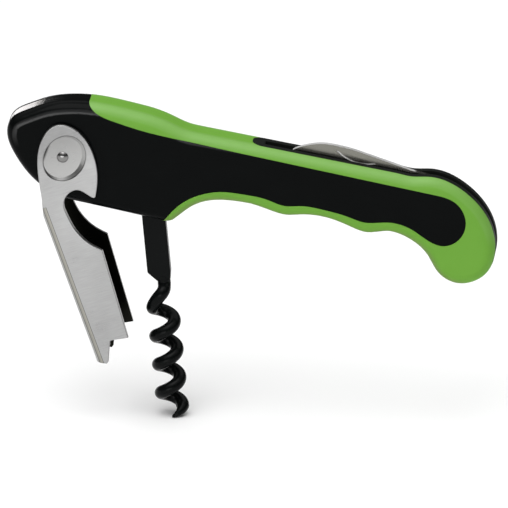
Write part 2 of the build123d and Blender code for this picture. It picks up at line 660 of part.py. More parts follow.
def main():
    """Build every piece and write it to its own file."""
    outline = handle_outline()
    cover, grip = handle_shells(outline)
    pieces = {
        "nose_frame": nose_frame(outline),
        "front_cover": cover,
        "rear_cover": rear_of(cover),
        "front_grip": grip,
        "rear_grip": rear_of(grip),
        "knife_liner": knife_liner(outline),
        "lever": lever(),
        "lever_rivet": lever_rivet(),
        "worm": worm(),
        "knife_blade": knife_blade(),
    }
    pieces.update(small_parts())
    os.makedirs("parts", exist_ok=True)
    for name, piece in pieces.items():
        export_step(piece, os.path.join("parts", name + ".step"))


if __name__ == "__main__":
    main()
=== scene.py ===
"""Looks of a folding lever corkscrew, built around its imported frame."""

from __future__ import annotations

import json
import logging
import math
from dataclasses import dataclass
from enum import Enum, IntEnum
from typing import Mapping, Sequence, Union

import bpy
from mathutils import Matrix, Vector

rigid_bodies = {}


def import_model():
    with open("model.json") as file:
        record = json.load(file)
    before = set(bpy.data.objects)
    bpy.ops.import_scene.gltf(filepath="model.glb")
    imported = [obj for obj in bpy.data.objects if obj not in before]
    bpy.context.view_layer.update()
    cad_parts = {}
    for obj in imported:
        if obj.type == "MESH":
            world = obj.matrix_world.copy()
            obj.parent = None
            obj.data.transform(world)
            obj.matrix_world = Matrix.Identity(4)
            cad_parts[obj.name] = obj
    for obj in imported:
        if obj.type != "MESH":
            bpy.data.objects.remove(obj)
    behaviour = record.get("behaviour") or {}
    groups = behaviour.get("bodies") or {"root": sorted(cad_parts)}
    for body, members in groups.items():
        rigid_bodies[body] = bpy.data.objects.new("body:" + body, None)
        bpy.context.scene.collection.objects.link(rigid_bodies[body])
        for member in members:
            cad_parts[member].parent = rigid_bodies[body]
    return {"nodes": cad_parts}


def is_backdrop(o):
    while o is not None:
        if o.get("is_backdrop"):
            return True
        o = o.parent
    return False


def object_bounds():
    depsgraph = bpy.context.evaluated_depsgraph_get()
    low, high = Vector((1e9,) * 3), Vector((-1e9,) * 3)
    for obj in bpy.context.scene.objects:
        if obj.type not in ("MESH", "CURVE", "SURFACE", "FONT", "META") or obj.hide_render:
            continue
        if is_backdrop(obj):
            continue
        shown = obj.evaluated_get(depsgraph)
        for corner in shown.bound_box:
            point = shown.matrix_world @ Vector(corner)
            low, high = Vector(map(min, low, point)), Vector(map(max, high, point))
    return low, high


LOG = logging.getLogger("corkscrew")
MM = 0.001
WHITE = (1.0, 1.0, 1.0)
NOISE_MIDDLE = 0.5
BEVEL_SAMPLES = 8
RIDGE_GAIN = 4.0  # lifts the peak of share * (1 - share) to 1
WEAR_GAIN = 2.0  # darkening of worn metal per unit of its lines' contrast
LEVER_LEAN_DEG = 19.3

Colour = tuple[float, float, float]
Span = tuple[float, float]
Value = Union["Signal", float, Sequence[float]]


class Axis(Enum):
    """Axes of the part's frame: along the handle to its tail, across it, and up."""

    ALONG = "X"
    ACROSS = "Y"
    UP = "Z"


class Detail(Enum):
    """Fineness of a noise, in octaves."""

    SPECKS = 1.0
    CLOUDS = 2.0
    GRAIN = 3.0


class Mixing(Enum):
    """How a second colour comes into a first one."""

    COVER = "MIX"
    DARKEN = "MULTIPLY"


class MixSocket(IntEnum):
    """Colour sockets of a Mix node, by index, because their names repeat."""

    FACTOR = 0
    RESULT = 2
    LOW = 6
    HIGH = 7


class Grain(Enum):
    """Direction of a brushed grain, as its turn about the cross axis in degrees."""

    ALONG_STRIP = 10.0
    ACROSS_LEVER = LEVER_LEAN_DEG
    ACROSS_BLADE = 105.0


def opaque(colour: Colour) -> tuple[float, ...]:
    """A colour with full alpha, as sockets take it."""
    return (*colour, 1.0)


def scaled(colour: Colour, factor: float) -> Colour:
    """A colour made darker or lighter by a factor."""
    return tuple(factor * level for level in colour)


class Signal:
    """A shader socket that takes part in Python expressions on values."""

    def __init__(self, graph: ShaderGraph, socket: bpy.types.NodeSocket) -> None:
        """Wrap an output socket of a graph."""
        self.graph = graph
        self.socket = socket

    def _maths(self, operation: str, first: Value, second: Value) -> Signal:
        """Add one Math node to the graph."""
        return self.graph.node("ShaderNodeMath", {"operation": operation}, {0: first, 1: second})

    def __add__(self, other: Value) -> Signal:
        """Sum."""
        return self._maths("ADD", self, other)

    def __radd__(self, other: Value) -> Signal:
        """Sum with a number on the left."""
        return self._maths("ADD", other, self)

    def __sub__(self, other: Value) -> Signal:
        """Difference."""
        return self._maths("SUBTRACT", self, other)

    def __rsub__(self, other: Value) -> Signal:
        """Difference from a number on the left."""
        return self._maths("SUBTRACT", other, self)

    def __mul__(self, other: Value) -> Signal:
        """Product."""
        return self._maths("MULTIPLY", self, other)

    def __rmul__(self, other: Value) -> Signal:
        """Product with a number on the left."""
        return self._maths("MULTIPLY", other, self)

    def __abs__(self) -> Signal:
        """Size without the sign."""
        return self.graph.node("ShaderNodeMath", {"operation": "ABSOLUTE"}, {0: self})


class ShaderGraph:
    """The node tree of a material or a world."""

    def __init__(self, owner: bpy.types.Material | bpy.types.World) -> None:
        """Start with the owner's tree, emptied.

        Args:
            owner: The material or world.
        """
        owner.use_nodes = True
        self.owner = owner
        self.tree = owner.node_tree
        self.tree.nodes.clear()

    def node(
        self,
        kind: str,
        settings: Mapping[str, object] | None = None,
        sockets: Mapping[str | int, Value] | None = None,
        output: str | int | None = 0,
    ) -> Signal | None:
        """Add a node of any type.

        Args:
            kind: Blender's name of the node type.
            settings: Properties that are set before the sockets.
            sockets: Numbers, colours or signals for the inputs, by name or index.
            output: The output that the result stands for, or None for a node without one.

        Returns:
            The chosen output as a signal, or None.
        """
        made = self.tree.nodes.new(kind)
        for name, value in (settings or {}).items():
            setattr(made, name, value)
        for key, value in (sockets or {}).items():
            if isinstance(value, Signal):
                self.tree.links.new(value.socket, made.inputs[key])
            else:
                made.inputs[key].default_value = value
        return None if output is None else Signal(self, made.outputs[output])

    def place(self, cycles: Sequence[float], turn_deg: float) -> Signal:
        """Place on the piece in its own frame, turned about the cross axis and stretched.

        Args:
            cycles: Scale along each axis after the turn, in cycles per millimetre.
            turn_deg: Turn about the cross axis, in degrees.

        Returns:
            The coordinates as a signal.
        """
        bare = self.node("ShaderNodeTexCoord", output="Object")
        turn = {"Vector": bare, "Angle": math.radians(turn_deg)}
        turned = self.node("ShaderNodeVectorRotate", {"rotation_type": "Y_AXIS"}, turn)
        per_metre = tuple(number / MM for number in cycles)
        stretch = {0: turned, 1: per_metre}
        return self.node("ShaderNodeVectorMath", {"operation": "MULTIPLY"}, stretch)

    def noise(self, cycles: Sequence[float], detail: Detail, turn_deg: float = 0.0) -> Signal:
        """Smooth noise over the piece, about 0 to 1.

        Args:
            cycles: Scale along each axis after the turn, in cycles per millimetre.
            detail: Fineness of the noise.
            turn_deg: Turn about the cross axis, in degrees.

        Returns:
            The noise as a signal.
        """
        place = self.place(cycles, turn_deg)
        sockets = {"Vector": place, "Scale": 1.0, "Detail": detail.value}
        return self.node("ShaderNodeTexNoise", sockets=sockets)

    def mottle(self, patch_mm: float, detail: Detail = Detail.CLOUDS) -> Signal:
        """Smooth noise, about 0 to 1, in patches of one size."""
        return self.noise((1 / patch_mm,) * len(Axis), detail)

    def coordinate(self, axis: Axis, turn_deg: float = 0.0) -> Signal:
        """One coordinate on the piece after a turn about the cross axis, in millimetres."""
        place = self.place((1.0,) * len(Axis), turn_deg)
        return self.node("ShaderNodeSeparateXYZ", sockets={0: place}, output=axis.value)

    def below_side(self, half_mm: float) -> Signal:
        """Depth below two flat sides, each half the thickness from the middle, in millimetres."""
        return half_mm - abs(self.coordinate(Axis.ACROSS))

    def rise(self, amount: Signal, start: float, end: float) -> Signal:
        """Smooth step from 0 to 1 between two amounts."""
        steps = {"Value": amount, "From Min": start, "From Max": end}
        return self.node("ShaderNodeMapRange", {"interpolation_type": "SMOOTHSTEP"}, steps)

    def ridge(self, share: Signal) -> Signal:
        """A line that is 1 where a share is half way between 0 and 1, and 0 at both ends."""
        return RIDGE_GAIN * share * (1 - share)

    def blend(
        self,
        share: Signal,
        low: Colour | Signal,
        high: Colour | Signal,
        mixing: Mixing = Mixing.COVER,
    ) -> Signal:
        """Bring a second colour into a first one.

        Args:
            share: How much of the second colour comes in, 0 to 1.
            low: First colour.
            high: Second colour.
            mixing: How the second colour comes in.

        Returns:
            The colour as a signal.
        """
        ends = {MixSocket.LOW: low, MixSocket.HIGH: high}
        colours = {key: end if isinstance(end, Signal) else opaque(end) for key, end in ends.items()}
        settings = {"data_type": "RGBA", "blend_type": mixing.value}
        sockets = {MixSocket.FACTOR: share, **colours}
        return self.node("ShaderNodeMix", settings, sockets, output=MixSocket.RESULT)

    def relief(self, height: Signal, depth_mm: float, edge_mm: float) -> Signal:
        """Surface normal with a fine relief, and with the piece's edges eased.

        Args:
            height: Relief, about 0 to 1.
            depth_mm: Depth of the relief.
            edge_mm: Radius of the eased edges.

        Returns:
            The normal as a signal.
        """
        eased = self.node("ShaderNodeBevel", {"samples": BEVEL_SAMPLES}, {"Radius": edge_mm * MM})
        depth = {"Height": height, "Distance": depth_mm * MM, "Strength": 1.0, "Normal": eased}
        return self.node("ShaderNodeBump", sockets=depth)

    def finished(self, **sockets: Value) -> bpy.types.Material:
        """Close a material's graph with one shader.

        Args:
            sockets: Inputs of the shader, with underscores for the spaces in their names.

        Returns:
            The material.
        """
        inputs = {name.replace("_", " "): value for name, value in sockets.items()}
        shader = self.node("ShaderNodeBsdfPrincipled", sockets=inputs)
        self.node("ShaderNodeOutputMaterial", sockets={"Surface": shader}, output=None)
        return self.owner


@dataclass(frozen=True, kw_only=True)
class Finish:
    """A finish that makes one material, once.

    Attributes:
        name: Name of the material.
    """

    name: str

    def material(self) -> bpy.types.Material:
        """The finish's material, made on first use."""
        made = bpy.data.materials.get(self.name)
        return made or self.build(ShaderGraph(bpy.data.materials.new(self.name)))

    def build(self, graph: ShaderGraph) -> bpy.types.Material:
        """Make the material's nodes."""
        raise NotImplementedError


@dataclass(frozen=True, kw_only=True)
class MouldedPlastic(Finish):
    """Moulded plastic or rubber with a fine spark-eroded grain and a faint cloudiness.

    Attributes:
        dark: Colour at the dark end of the mottle.
        light: Colour at the light end of the mottle.
        roughness: Roughness on average.
        roughness_swing: How far the clouds change the roughness.
        specular: Level of the reflections.
        grain_mm: Size of the grain.
        grain_depth_mm: Depth of the grain.
        cloud_mm: Size of the clouds.
        cloud_share: Share of the clouds in the mottle, where the grain has the rest.
        edge_mm: Radius of the eased edges.
    """

    dark: Colour
    light: Colour
    roughness: float
    roughness_swing: float = 0.12
    specular: float
    grain_mm: float = 0.18
    grain_depth_mm: float = 0.004
    cloud_mm: float = 7.0
    cloud_share: float = 0.75
    edge_mm: float = 0.2

    def build(self, graph: ShaderGraph) -> bpy.types.Material:
        """Make the material's nodes.

        Args:
            graph: The material's empty graph.

        Returns:
            The material.
        """
        grain = graph.mottle(self.grain_mm, Detail.GRAIN)
        cloud = graph.mottle(self.cloud_mm)
        mottle = self.cloud_share * cloud + (1 - self.cloud_share) * grain
        return graph.finished(
            Base_Color=self.shade(graph, mottle),
            Roughness=self.roughness + self.roughness_swing * (cloud - NOISE_MIDDLE),
            Specular_IOR_Level=self.specular,
            Normal=graph.relief(grain, self.grain_depth_mm, self.edge_mm),
            **self.polish(graph),
        )

    def shade(self, graph: ShaderGraph, mottle: Signal) -> Signal:
        """Colour of the surface, from its mottle."""
        return graph.blend(mottle, self.dark, self.light)

    def polish(self, graph: ShaderGraph) -> dict[str, Value]:
        """Sockets of a polish on top of the plastic, none unless a kind of plastic has one."""
        return {}


@dataclass(frozen=True, kw_only=True)
class HandledPlastic(MouldedPlastic):
    """Moulded plastic that hands have polished along the upper shoulder of its flat sides.

    Attributes:
        half_mm: From the middle to the flat sides.
        lean_deg: Turn about the cross axis before heights are measured.
        upper_mm: Heights between which the upper side begins.
        flat_fade_mm: Depth below the flat sides in which the polish begins.
        band_mm: Depths below the flat sides between which the polish ends.
        shine: Weight of the polish.
        shine_roughness: Roughness of the polish.
    """

    half_mm: float
    lean_deg: float = 0.0
    upper_mm: Span
    flat_fade_mm: float
    band_mm: Span
    shine: float
    shine_roughness: float

    def polish(self, graph: ShaderGraph) -> dict[str, Value]:
        """Sockets of the polished band.

        Args:
            graph: The material's graph.

        Returns:
            Values of the shader's coat, by socket.
        """
        below_side = graph.below_side(self.half_mm)
        off_flat = graph.rise(below_side, 0.0, self.flat_fade_mm)
        band = off_flat * (1 - graph.rise(below_side, *self.band_mm))
        weight = self.shine * band * self.upper(graph)
        return {"Coat_Weight": weight, "Coat_Roughness": self.shine_roughness}

    def upper(self, graph: ShaderGraph) -> Signal:
        """Share of the upper side at each point, 0 to 1."""
        return graph.rise(graph.coordinate(Axis.UP, self.lean_deg), *self.upper_mm)


@dataclass(frozen=True, kw_only=True)
class SkinWithPaintedUnderShade(HandledPlastic):
    """Soft skin with painted shade along its lower shoulder, darker and browner there.

    Attributes:
        painted_under_shade: Painted shade colour of the lower shoulder.
        painted_under_shade_mm: Depths below the flat sides between which the painted shade grows.
        painted_under_shade_end_mm: Places along the handle between which the painted shade ends.
    """

    painted_under_shade: Colour
    painted_under_shade_mm: Span = (0.05, 1.0)
    painted_under_shade_end_mm: Span

    def shade(self, graph: ShaderGraph, mottle: Signal) -> Signal:
        """Colour of the surface, with painted shade along the lower shoulder.

        Args:
            graph: The material's graph.
            mottle: Mottle of the surface, 0 to 1.

        Returns:
            The colour as a signal.
        """
        # painted shade: the lower shoulder is darkened and browned towards the tail, where less
        # light falls
        ahead = 1 - graph.rise(graph.coordinate(Axis.ALONG), *self.painted_under_shade_end_mm)
        lower = (1 - self.upper(graph)) * ahead
        under_shade_share = graph.rise(graph.below_side(self.half_mm), *self.painted_under_shade_mm) * lower
        return graph.blend(under_shade_share, super().shade(graph, mottle), self.painted_under_shade)


@dataclass(frozen=True, kw_only=True)
class BrushedMetal(Finish):
    """Metal with a fine grain in one direction and a little unevenness in its sheen.

    Attributes:
        colour: Colour of the clean metal.
        roughness: Roughness on average.
        grain: Direction of the grain.
        line_mm: Width of the grain's lines.
        line_length_mm: Length of the lines.
        line_depth_mm: Depth of the lines.
        line_contrast: How far the lines change the roughness, and wear darkens the colour.
        cloud_mm: Size of the uneven patches.
        cloud_contrast: How far the patches change the roughness.
        cloud_share: Share of the patches in the sheen, where the lines have the rest.
        edge_mm: Radius of the eased edges.
    """

    colour: Colour
    roughness: float
    grain: Grain
    line_mm: float = 0.14
    line_length_mm: float = 9.0
    line_depth_mm: float = 0.002
    line_contrast: float = 0.10
    cloud_mm: float = 12.0
    cloud_contrast: float = 0.08
    cloud_share: float = 0.5
    edge_mm: float = 0.12

    def build(self, graph: ShaderGraph) -> bpy.types.Material:
        """Make the material's nodes.

        Args:
            graph: The material's empty graph.

        Returns:
            The material.
        """
        cycles = (1 / self.line_length_mm, 1 / self.line_mm, 1 / self.line_mm)
        lines = graph.noise(cycles, Detail.GRAIN, self.grain.value)
        cloud = graph.mottle(self.cloud_mm)
        lined = self.roughness + self.line_contrast * (lines - NOISE_MIDDLE)
        brushed = lined + self.cloud_contrast * (cloud - NOISE_MIDDLE)
        sheen = (1 - self.cloud_share) * lines + self.cloud_share * cloud
        return graph.finished(
            Base_Color=self.tint(graph, sheen),
            Metallic=1.0,
            Roughness=self.haze(graph, brushed),
            Normal=graph.relief(lines, self.line_depth_mm, self.edge_mm),
        )

    def haze(self, graph: ShaderGraph, brushed: Signal) -> Signal:
        """Roughness of the surface, from that of its brushed faces."""
        return brushed

    def tint(self, graph: ShaderGraph, sheen: Signal) -> Signal:
        """Colour of the surface, from the unevenness of its sheen."""
        worn = scaled(self.colour, 1 - WEAR_GAIN * self.line_contrast)
        return graph.blend(sheen, worn, self.colour)


@dataclass(frozen=True, kw_only=True)
class FoldedSheet(BrushedMetal):
    """Brushed sheet with a painted dark line of shade round its flat faces and along its bend.

    Its bend is painted as shade that darkens towards the back, it is painted dark as shade inside
    its fold, and its ears are painted darker towards their tops as shade.

    Attributes:
        lean_deg: Turn about the cross axis that stands the sheet upright.
        half_mm: From the middle to the flat faces.
        sheet_mm: Thickness of the sheet.
        back_mm: Place of the back along the handle, after the turn.
        bend_mm: Width of the bend beside the back.
        bend_top_mm: Height of the bend's upper end, after the turn.
        bend_painted_dark: Painted shade colour of the bend at the back.
        bend_painted_light: Painted lighter colour of the bend where it meets the flat faces, the lit
            end of its painted shading.
        rim_mm: Half the width of the painted shade line along the bend, and its width round the
            faces.
        painted_line_shade: Colour of the painted shade line.
        edge_colour: Colour of what lies below the flat faces.
        ear_mm: Heights between which the ears are painted darker as shade, after the turn.
        painted_ear_shade: Share of each colour that is left at the ears' tops, as painted shade.
        inside_from: Where the inside begins, as a share of the sheet's thickness.
        painted_inside_shade: Painted shade colour inside the fold.
    """

    lean_deg: float
    half_mm: float
    sheet_mm: float
    back_mm: float
    bend_mm: float
    bend_top_mm: float
    bend_painted_dark: Colour
    bend_painted_light: Colour
    rim_mm: float = 0.1
    painted_line_shade: Colour
    edge_colour: Colour
    ear_mm: Span
    painted_ear_shade: Colour
    inside_from: float = 0.8
    painted_inside_shade: Colour

    def tint(self, graph: ShaderGraph, sheen: Signal) -> Signal:
        """Colour of the surface, with painted shade from where it lies below the faces, off the back
        and up.

        Args:
            graph: The material's graph.
            sheen: Unevenness of the sheen, 0 to 1.

        Returns:
            The colour as a signal.
        """
        below_side = graph.below_side(self.half_mm)
        off_back = graph.coordinate(Axis.ALONG, self.lean_deg) - self.back_mm
        height = graph.coordinate(Axis.UP, self.lean_deg)
        sunk = graph.rise(below_side, self.rim_mm, 2 * self.rim_mm)
        bent = self.bent(graph, off_back, height)
        # painted shade across the bend, darker towards the back
        across_bend = graph.rise(off_back, 0.0, self.bend_mm)
        bend = graph.blend(across_bend, self.bend_painted_dark, self.bend_painted_light)
        flat = graph.blend(bent, super().tint(graph, sheen), bend)
        sheet = graph.blend(sunk, flat, self.edge_colour)
        # painted dark lines of shade round the flat faces and along the bend
        lined = graph.blend(graph.ridge(sunk) + graph.ridge(bent), sheet, self.painted_line_shade)
        # painted shade, darker towards the ears' tops
        painted_ear_share = graph.rise(height, *self.ear_mm)
        with_painted_ear_shade = graph.blend(painted_ear_share, lined, self.painted_ear_shade, Mixing.DARKEN)
        # painted shade inside the fold
        inner = (self.inside_from * self.sheet_mm, self.sheet_mm)
        inside = graph.rise(below_side, *inner) * graph.rise(off_back, *inner)
        return graph.blend(inside, with_painted_ear_shade, self.painted_inside_shade)

    def bent(self, graph: ShaderGraph, off_back: Signal, height: Signal) -> Signal:
        """Share of the bend at each point.

        Args:
            graph: The material's graph.
            off_back: Distance from the back, in millimetres.
            height: Height after the turn, in millimetres.

        Returns:
            The share as a signal, 0 to 1.
        """
        past_bend = graph.rise(off_back, self.bend_mm, self.bend_mm + 2 * self.rim_mm)
        below_top = graph.rise(self.bend_top_mm - height, 0.0, self.rim_mm)
        return (1 - past_bend) * below_top


@dataclass(frozen=True, kw_only=True)
class GroundBlade(BrushedMetal):
    """Polished blade with a satin grind on its back and along the rim of its nail nick, painted
    paler there as a highlight.

    Attributes:
        half_mm: From the middle to the blade's flat sides.
        fade_mm: Depths below the flat sides between which the grind begins.
        nick_centre_mm: Centre of the nick's arc, along the handle and up.
        nick_radius_mm: Radius of the nick's arc.
        nick_depth_mm: Depth of the nick's floor.
        nick_rim_mm: Width of the nick's ground rim.
        grind_end_mm: Places along the handle between which the grind ends.
        ground_painted_highlight: Painted highlight colour of the grind.
        ground_roughness: Roughness of the grind.
    """

    half_mm: float
    fade_mm: Span = (0.04, 0.12)
    nick_centre_mm: Span
    nick_radius_mm: float
    nick_depth_mm: float
    nick_rim_mm: float = 0.5
    grind_end_mm: Span
    ground_painted_highlight: Colour
    ground_roughness: float

    def ground(self, graph: ShaderGraph) -> Signal:
        """Share of the grind at each point.

        Args:
            graph: The material's graph.

        Returns:
            The share as a signal, 0 to 1.
        """
        below_side = graph.below_side(self.half_mm)
        off_floor = graph.rise(abs(below_side - self.nick_depth_mm), 0.0, self.fade_mm[0])
        along = graph.coordinate(Axis.ALONG) - self.nick_centre_mm[0]
        up = graph.coordinate(Axis.UP) - self.nick_centre_mm[1]
        rim_start = self.nick_radius_mm - self.nick_rim_mm
        rim = graph.rise(along * along + up * up, rim_start**2, self.nick_radius_mm**2)
        off_nick = 1 - (1 - off_floor) * (1 - rim)
        ahead = 1 - graph.rise(graph.coordinate(Axis.ALONG), *self.grind_end_mm)
        return ahead * graph.rise(below_side, *self.fade_mm) * off_nick

    def haze(self, graph: ShaderGraph, brushed: Signal) -> Signal:
        """Roughness of the surface, satin where it is ground."""
        return brushed + self.ground(graph) * (self.ground_roughness - brushed)

    def tint(self, graph: ShaderGraph, sheen: Signal) -> Signal:
        """Colour of the surface, with a painted highlight where it is ground."""
        return graph.blend(self.ground(graph), super().tint(graph, sheen), self.ground_painted_highlight)


@dataclass(frozen=True, kw_only=True)
class StripWithPaintedEndShade(BrushedMetal):
    """Bright strip with painted dark specks of shade towards its rear end.

    Attributes:
        painted_end_shade_mm: Places along the handle where the painted shade begins and where it is
            full.
        painted_end_shade: Colour of the painted shade specks.
        painted_speck_mm: Size of the painted specks.
        painted_speck_levels: Levels of the noise between which a painted speck's edge lies.
    """

    painted_end_shade_mm: Span
    painted_end_shade: Colour
    painted_speck_mm: float = 0.35
    painted_speck_levels: Span = (0.42, 0.58)

    def tint(self, graph: ShaderGraph, sheen: Signal) -> Signal:
        """Colour of the surface with painted shade specks at its rear end.

        Args:
            graph: The material's graph.
            sheen: Unevenness of the sheen, 0 to 1.

        Returns:
            The colour as a signal.
        """
        painted_specks = graph.mottle(self.painted_speck_mm, Detail.SPECKS)
        # painted shade: dark specks at the strip's rear end, where its bent end is shaded
        near_end = graph.rise(graph.coordinate(Axis.ALONG), *self.painted_end_shade_mm)
        end_shade_share = graph.rise(painted_specks, *self.painted_speck_levels) * near_end
        return graph.blend(end_shade_share, super().tint(graph, sheen), self.painted_end_shade)


@dataclass(frozen=True, kw_only=True)
class CoatedSteel(Finish):
    """Steel under a dark slippery coating with a faint orange peel.

    Attributes:
        colour: Colour of the coating in the hollows of its peel.
        peel_lightening: How many times lighter it is on the heights of its peel.
        roughness: Roughness on average.
        roughness_swing: How far the peel changes the roughness.
        specular: Level of the reflections.
        peel_mm: Size of the peel.
        peel_depth_mm: Depth of the peel.
        edge_mm: Radius of the eased edges.
    """

    colour: Colour
    peel_lightening: float = 2.0
    roughness: float
    roughness_swing: float = 0.1
    specular: float
    peel_mm: float
    peel_depth_mm: float = 0.01
    edge_mm: float

    def build(self, graph: ShaderGraph) -> bpy.types.Material:
        """Make the material's nodes.

        Args:
            graph: The material's empty graph.

        Returns:
            The material.
        """
        peel = graph.mottle(self.peel_mm)
        lighter = scaled(self.colour, self.peel_lightening)
        return graph.finished(
            Base_Color=graph.blend(peel, self.colour, lighter),
            Roughness=self.roughness + self.roughness_swing * (peel - NOISE_MIDDLE),
            Specular_IOR_Level=self.specular,
            Normal=graph.relief(peel, self.peel_depth_mm, self.edge_mm),
        )


PIN_STEEL = BrushedMetal(
    name="pin_metal",
    colour=(0.23, 0.227, 0.223),
    roughness=0.26,
    grain=Grain.ACROSS_LEVER,
    line_contrast=0.05,
)
WASHER_BRASS = BrushedMetal(
    name="washer_metal",
    colour=(0.78, 0.58, 0.27),
    roughness=0.3,
    grain=Grain.ALONG_STRIP,
)


def both_sides(name: str) -> list[str]:
    """Names of the front and the rear piece of a pair."""
    return [side + name for side in ("front_", "rear_")]


class SubAssembly:
    """Pieces that belong together, with the finish of each."""

    def finishes(self) -> dict[str, Finish]:
        """Finish of each piece, by the name of its node."""
        raise NotImplementedError

    def dress(self, nodes: Mapping[str, bpy.types.Object]) -> None:
        """Give each piece its finish and report it.

        Args:
            nodes: Objects of the CAD nodes, by name.
        """
        for node, finish in self.finishes().items():
            slots = nodes[node].data.materials
            slots.clear()
            slots.append(finish.material())
            LOG.info("%s: %s in %s", type(self).__name__, node, finish.name)


@dataclass
class Handle(SubAssembly):
    """Two covers with their soft skins, round the frame that shows as a strip on the nose.

    Attributes:
        cover_half_mm: From the middle to the covers' flat sides.
        cover_upper_mm: Heights between which the covers' upper side begins.
        skin_half_mm: From the middle to the skins' flat sides.
        skin_lean_deg: Turn about the cross axis that lays the handle level.
        skin_upper_mm: Heights after the turn between which the skins' upper side begins.
        skin_painted_under_shade_end_mm: Places along the handle between which the skins' painted
            shade ends.
        strip_painted_end_shade_mm: Places along the handle where the strip's painted shade begins
            and is full.
    """

    cover_half_mm: float = 5.45
    cover_upper_mm: Span = (51.5, 57.0)
    skin_half_mm: float = 5.6
    skin_lean_deg: float = -15.7
    skin_upper_mm: Span = (50.0, 56.0)
    skin_painted_under_shade_end_mm: Span = (78.0, 83.0)
    strip_painted_end_shade_mm: Span = (-33.9, -32.8)

    def finishes(self) -> dict[str, Finish]:
        """Finish of each piece, by the name of its node."""
        return {
            **dict.fromkeys(both_sides("cover"), self.shell()),
            **dict.fromkeys(both_sides("grip"), self.skin()),
            "nose_frame": self.strip(),
            "cover_pins": PIN_STEEL,
        }

    def shell(self) -> HandledPlastic:
        """Black plastic of the covers."""
        return HandledPlastic(
            name="shell_black",
            dark=(0.002, 0.0024, 0.0024),
            light=(0.003, 0.0036, 0.0036),
            roughness=0.17,
            specular=0.035,
            half_mm=self.cover_half_mm,
            upper_mm=self.cover_upper_mm,
            flat_fade_mm=0.04,
            band_mm=(0.2, 0.45),
            shine=0.65,
            shine_roughness=0.38,
        )

    def skin(self) -> SkinWithPaintedUnderShade:
        """Soft green skin of the grips."""
        return SkinWithPaintedUnderShade(
            name="skin_green",
            dark=(0.131, 0.328, 0.037),
            light=(0.149, 0.353, 0.045),
            roughness=0.48,
            specular=0.1,
            half_mm=self.skin_half_mm,
            lean_deg=self.skin_lean_deg,
            upper_mm=self.skin_upper_mm,
            flat_fade_mm=0.3,
            band_mm=(2.0, 4.0),
            shine=1.0,
            shine_roughness=0.55,
            # painted shade colour of the skin's lower shoulder
            painted_under_shade=(0.150, 0.262, 0.054),
            painted_under_shade_end_mm=self.skin_painted_under_shade_end_mm,
        )

    def strip(self) -> StripWithPaintedEndShade:
        """Bright steel of the frame, with painted shade specks at the rear end of its strip."""
        return StripWithPaintedEndShade(
            name="nose_strip",
            colour=(0.69, 0.66, 0.65),
            roughness=0.12,
            grain=Grain.ALONG_STRIP,
            painted_end_shade_mm=self.strip_painted_end_shade_mm,
            # painted shade colour of the specks at the strip's rear end
            painted_end_shade=(0.10, 0.09, 0.07),
        )


@dataclass
class Lever(SubAssembly):
    """Folded lever with its rivet, spacer and bushes.

    Attributes:
        lean_deg: Turn about the cross axis that stands the lever upright.
        half_mm: From the middle to the lever's flat faces.
        sheet_mm: Thickness of the lever's sheet.
        back_mm: Place of the lever's back along the handle, after the turn.
        bend_mm: Width of the bend beside the back.
        bend_top_mm: Height of the bend's upper end, after the turn.
        ear_mm: Heights between which the ears are painted darker as shade, after the turn.
    """

    lean_deg: float = LEVER_LEAN_DEG
    half_mm: float = 7.0
    sheet_mm: float = 1.15
    back_mm: float = -18.27
    bend_mm: float = 1.65
    bend_top_mm: float = 43.8
    ear_mm: Span = (51.0, 63.0)

    def finishes(self) -> dict[str, Finish]:
        """Finish of each piece, by the name of its node."""
        pins = ("lever_rivet", "lever_spacer", *both_sides("lever_bush"))
        return {"lever": self.sheet(), **dict.fromkeys(pins, PIN_STEEL)}

    def sheet(self) -> FoldedSheet:
        """Brushed sheet of the lever."""
        return FoldedSheet(
            name="lever_sheet",
            colour=(0.465, 0.465, 0.463),
            roughness=0.32,
            grain=Grain.ACROSS_LEVER,
            line_mm=0.25,
            line_length_mm=4.0,
            line_contrast=0.25,
            lean_deg=self.lean_deg,
            half_mm=self.half_mm,
            sheet_mm=self.sheet_mm,
            back_mm=self.back_mm,
            bend_mm=self.bend_mm,
            bend_top_mm=self.bend_top_mm,
            # painted shade across the bend, painted shade lines, painted shade towards the ears'
            # tops and inside the fold
            bend_painted_dark=(0.160, 0.158, 0.146),
            bend_painted_light=(0.310, 0.302, 0.270),
            painted_line_shade=(0.03, 0.03, 0.028),
            edge_colour=(0.372, 0.371, 0.366),
            ear_mm=self.ear_mm,
            painted_ear_shade=(0.722, 0.722, 0.722),
            painted_inside_shade=(0.01, 0.01, 0.008),
        )


@dataclass
class Worm(SubAssembly):
    """Coated screw on its pin, between two spacers.

    Attributes:
        edge_mm: Radius of the screw's eased edges.
        peel_mm: Size of the coating's peel.
    """

    edge_mm: float = 0.15
    peel_mm: float = 0.35

    def finishes(self) -> dict[str, Finish]:
        """Finish of each piece, by the name of its node."""
        pins = ("worm_pin", *both_sides("worm_spacer"))
        return {"worm": self.coating(), **dict.fromkeys(pins, PIN_STEEL)}

    def coating(self) -> CoatedSteel:
        """Black coating of the screw and its flat shank."""
        return CoatedSteel(
            name="wire_coating",
            colour=(0.0016, 0.002, 0.002),
            roughness=0.25,
            specular=0.07,
            peel_mm=self.peel_mm,
            edge_mm=self.edge_mm,
        )


